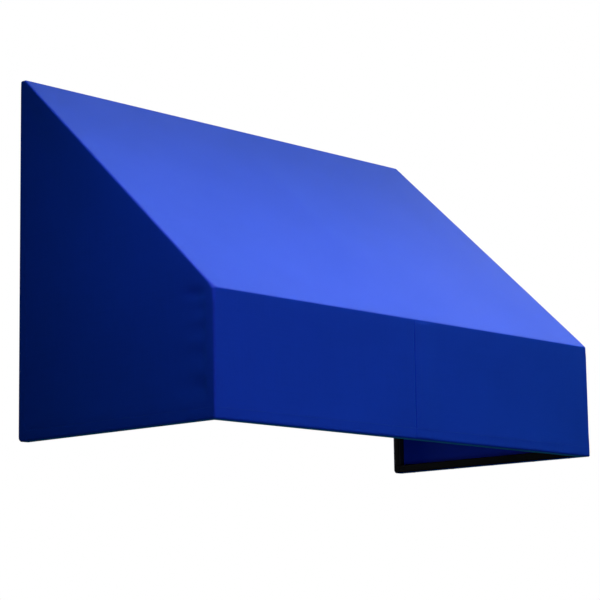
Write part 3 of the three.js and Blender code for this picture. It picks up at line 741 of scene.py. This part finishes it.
lip_x = [-560, -440, -320, -200, -80, 80, 200, 320, 440, 560]
screws = [screw_at("cloth_screws_front", [(x, LIP, 11.5) for x in lip_x], (0, -1, 0))]
for k, side in ((-1, "left"), (1, "right")):
    screws.append(screw_at(f"cloth_screws_{side}_hem", [(k * 619.5, u, 0.0) for u in (60, 185, 310, 435, 540)],
                           (0, 0, -1), low=True))
    screws.append(screw_at(f"cloth_screws_{side}_rear", [(k * 619.5, BACK, z) for z in (70, 240, 380, 520, 660, 742)], (0, -1, 0)))
screws.append(screw_at("cloth_screws_header", [(x, BACK, 781.0) for x in (-560, -420, -280, -140, 0, 140, 280, 420, 560)], (0, -1, 0)))

# ------------------------------------------------------------------ stage
FLOOR_Z = -2.75
floor = new_object("stage_floor", [(-40, -40, FLOOR_Z), (40, -40, FLOOR_Z), (40, 40, FLOOR_Z), (-40, 40, FLOOR_Z)], [[0, 1, 2, 3]])
fm, nt, b = material("stage_floor_pale")
tc = nt.nodes.new("ShaderNodeTexCoord")
tn = node(nt, "ShaderNodeTexNoise", Scale=0.6, Detail=2.0)
nt.links.new(tc.outputs["Object"], tn.inputs["Vector"])
nt.links.new(ramp(nt, tn.outputs[0], [(0.3, (0.50, 0.50, 0.50)), (0.7, (0.53, 0.53, 0.53))]), b.inputs["Base Color"])
b.inputs["Roughness"].default_value = 0.9
b.inputs["Specular IOR Level"].default_value = 0.1
b.inputs["Emission Color"].default_value = (1.0, 1.0, 1.0, 1.0)
b.inputs["Emission Strength"].default_value = 0.74
floor.data.materials.append(fm)
floor.visible_diffuse = False
floor.visible_glossy = False

# ------------------------------------------------------------------ light
world_ = bpy.data.worlds.new("studio")
bpy.context.scene.world = world_
world_.use_nodes = True
nt = world_.node_tree
for n in list(nt.nodes):
    nt.nodes.remove(n)
out = nt.nodes.new("ShaderNodeOutputWorld")
seen = node(nt, "ShaderNodeBackground", Color=(1, 1, 1, 1), Strength=1.0)
lit = node(nt, "ShaderNodeBackground", Color=(1, 1, 1, 1), Strength=0.0)
path = nt.nodes.new("ShaderNodeLightPath")
mx = nt.nodes.new("ShaderNodeMixShader")
nt.links.new(path.outputs["Is Camera Ray"], mx.inputs[0])
nt.links.new(lit.outputs[0], mx.inputs[1])
nt.links.new(seen.outputs[0], mx.inputs[2])
nt.links.new(mx.outputs[0], out.inputs[0])


def area(name, at, to, width, height, power, spread=180.0):
    li = bpy.data.lights.new(name, "AREA")
    li.shape = "RECTANGLE"
    li.size, li.size_y = width, height
    li.energy = power
    li.spread = math.radians(spread)
    o = bpy.data.objects.new(name, li)
    o.location = at
    o.rotation_euler = (Vector(to) - Vector(at)).to_track_quat("-Z", "Y").to_euler()
    bpy.context.scene.collection.objects.link(o)
    return o


area("back_right_high", (3.9, 0.3, 2.05), (0, -0.4, -0.4), 1.4, 1.4, 33.0)
area("front_left_low", (-1.3, -3.3, -1.5), (0, -0.4, -0.4), 1.2, 1.2, 13.6)
area("back_high", (1.6, 0.6, 2.4), (0, -0.4, -0.3), 1.4, 1.4, 10.8)
area("strip_top", (0.1, -0.5, 1.3), (0.1, -0.5, -0.5), 2.4, 0.35, 10.0)
area("strip_front_high", (0.1, -1.5, 1.3), (0.1, -1.25, -0.5), 2.4, 0.35, 6.2, 90.0)
area("strip_eave", (0.1, -0.9, 2.2), (0.1, -0.72, -0.5), 2.6, 0.4, 4.9, 40.0)
area("right_front", (2.5, -3.0, 0.3), (0, -0.4, -0.4), 1.2, 1.2, 3.5)
area("strip_middle", (0.1, -0.65, 0.8), (0.1, -0.6, -0.5), 2.4, 0.35, 3.2)
area("left_low", (-2.0, -2.8, -1.4), (0, -0.4, -0.4), 1.2, 1.2, 1.6)
area("rear", (0.55, 3.2, -0.2), (0, -0.3, -0.4), 2.0, 1.4, 20.0)
area("left_near", (-1.15, -0.6, -0.2), (-0.63, -0.45, -0.3), 0.5, 0.5, 0.55)

# ------------------------------------------------------------------ camera
S = 1.26
az, el, roll = math.radians(47.40965), math.radians(9.48215), math.radians(-0.83559)
fw = Vector((math.sin(az) * math.cos(el), math.cos(az) * math.cos(el), math.sin(el)))
right = fw.cross(Vector((0, 0, 1))).normalized()
up = right.cross(fw)
r2 = math.cos(roll) * right + math.sin(roll) * up
u2 = -math.sin(roll) * right + math.cos(roll) * up
target = Vector((0, -0.47051 * S / 2 - BACK * 0.001, 0.63111 * S / 2 + DROP * 0.001))
place = target - fw * 3.98124 * S + r2 * -0.02962 * S + u2 * -0.04318 * S
cam_data = bpy.data.cameras.new("camera")
cam = bpy.data.objects.new("camera", cam_data)
bpy.context.scene.collection.objects.link(cam)
m = Matrix((r2, u2, -fw)).transposed().to_4x4()
m.translation = place
cam.matrix_world = m
cam_data.sensor_width = 36.0
cam_data.lens = 2197.69 * 36.0 / 600.0
cam_data.clip_end = 200.0
bpy.context.scene.camera = cam
bpy.context.scene.view_settings.view_transform = "Standard"
bpy.context.scene.view_settings.look = "None"
